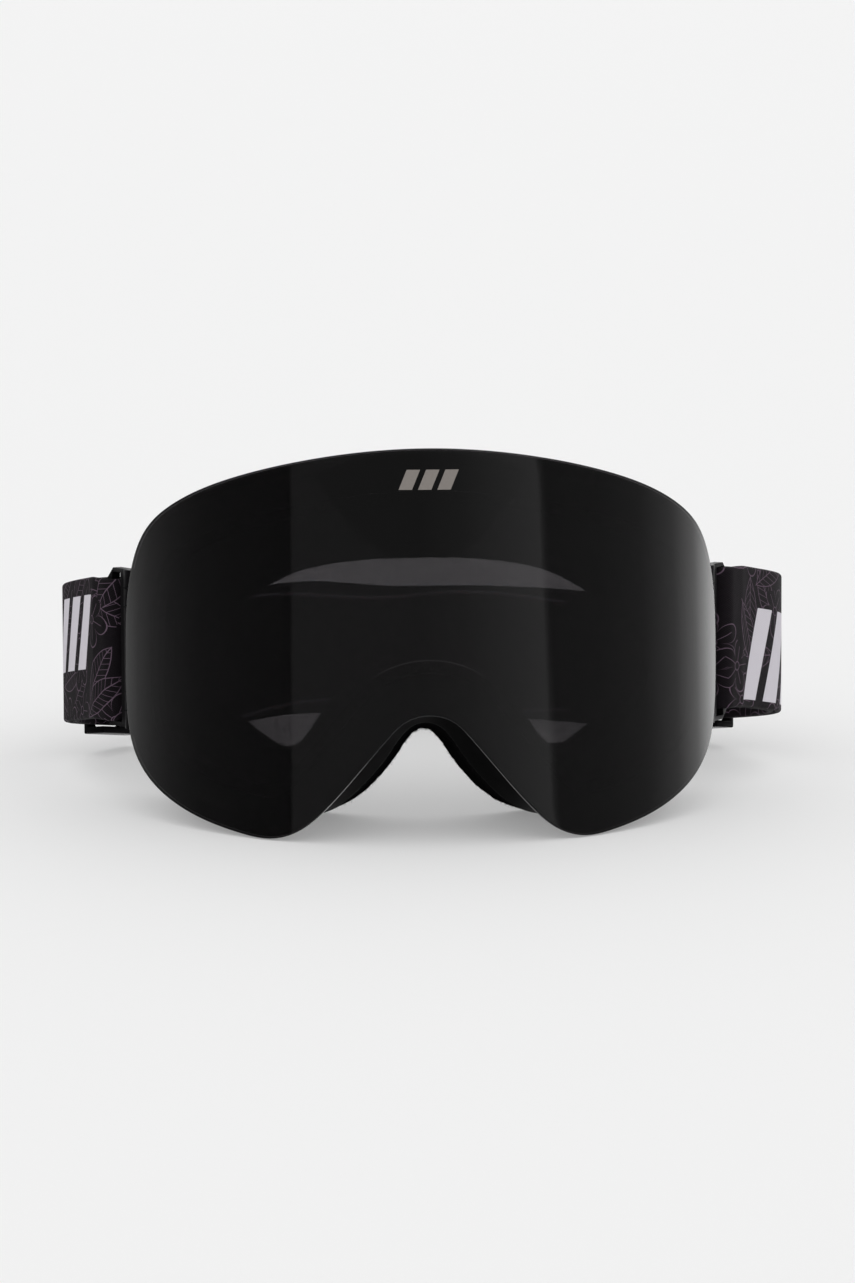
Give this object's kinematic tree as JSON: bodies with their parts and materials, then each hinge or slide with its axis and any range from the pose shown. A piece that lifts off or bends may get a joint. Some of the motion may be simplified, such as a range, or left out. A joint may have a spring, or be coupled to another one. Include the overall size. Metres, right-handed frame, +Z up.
{
  "type": "ski goggles",
  "caption": "Snow goggles with a frameless tinted cylindrical lens held by magnets on a soft vented frame, layered face foam, hinged strap clips and an elastic strap with slide adjusters.",
  "frame": {"origin": "on the surface that the goggles stand on, under the middle of their bounding box", "axes": "+X towards the right seen from in front of the lens, +Y from the lens towards the back of the strap, +Z up"},
  "size_m": [0.2038, 0.1726, 0.1076],
  "materials": {
    "lens_tint": "dark polished tint",
    "lens_clear": "clear anti-fog",
    "hard_plastic": "satin moulded",
    "soft_frame": "matt soft frame",
    "vent_foam": "open-cell foam",
    "face_foam": "foam",
    "fleece": "brushed fleece",
    "magnet": "nickel plated",
    "pin_steel": "drawn wire",
    "webbing": "woven elastic with a printed line pattern",
    "silicone": "satin silicone bead"
  },
  "bodies": {
    "frame": {"frame_front": "hard_plastic", "outrigger_left": "hard_plastic", "outrigger_right": "hard_plastic", "vent_foam_top": "vent_foam", "vent_foam_left": "vent_foam", "vent_foam_right": "vent_foam", "frame_magnet_1": "magnet", "frame_magnet_2": "magnet", "frame_magnet_3": "magnet", "frame_magnet_4": "magnet", "frame_magnet_5": "magnet", "frame_magnet_6": "magnet", "frame_magnet_7": "magnet", "frame_magnet_8": "magnet", "frame_skirt": "soft_frame", "foam_base": "face_foam", "foam_soft": "face_foam", "foam_fleece": "fleece", "clip_pin_left": "pin_steel", "clip_pin_right": "pin_steel", "strap": "webbing", "strap_return_left": "webbing", "strap_return_right": "webbing", "grip_bead_upper": "silicone", "grip_bead_lower": "silicone"},
    "lens": {"outer_lens": "lens_tint", "lens_carrier": "hard_plastic", "lens_spacer": "vent_foam", "inner_lens": "lens_clear", "lens_magnet_1": "magnet", "lens_magnet_2": "magnet", "lens_magnet_3": "magnet", "lens_magnet_4": "magnet", "lens_magnet_5": "magnet", "lens_magnet_6": "magnet", "lens_magnet_7": "magnet", "lens_magnet_8": "magnet"},
    "clip_left": {"strap_clip_left": "hard_plastic", "strap_loop_left": "webbing"},
    "adjuster_left": {"slider_left": "hard_plastic", "strap_anchor_left": "webbing"},
    "clip_right": {"strap_clip_right": "hard_plastic", "strap_loop_right": "webbing"},
    "adjuster_right": {"slider_right": "hard_plastic", "strap_anchor_right": "webbing"}
  },
  "joints": [
    {"name": "lens_release", "type": "slide", "parent": "frame", "child": "lens", "axis": [0, -0.9962, 0.0872], "range_m": [0, 0.04]},
    {"name": "clip_hinge_left", "type": "hinge", "parent": "frame", "child": "clip_left", "pos_m": [-0.0794, -0.03112, 0.04401], "axis": [0, 0.0872, 0.9962], "range_deg": [-25, 30]},
    {"name": "clip_hinge_right", "type": "hinge", "parent": "frame", "child": "clip_right", "pos_m": [0.0794, -0.03112, 0.04401], "axis": [0, -0.0872, -0.9962], "range_deg": [-25, 30]},
    {"name": "adjuster_slide_left", "type": "slide", "parent": "frame", "child": "adjuster_left", "axis": [0.7018, 0.6885, -0.1826], "range_m": [0, 0.02]},
    {"name": "adjuster_slide_right", "type": "slide", "parent": "frame", "child": "adjuster_right", "axis": [-0.7018, 0.6885, -0.1826], "range_m": [0, 0.02]}
  ]
}
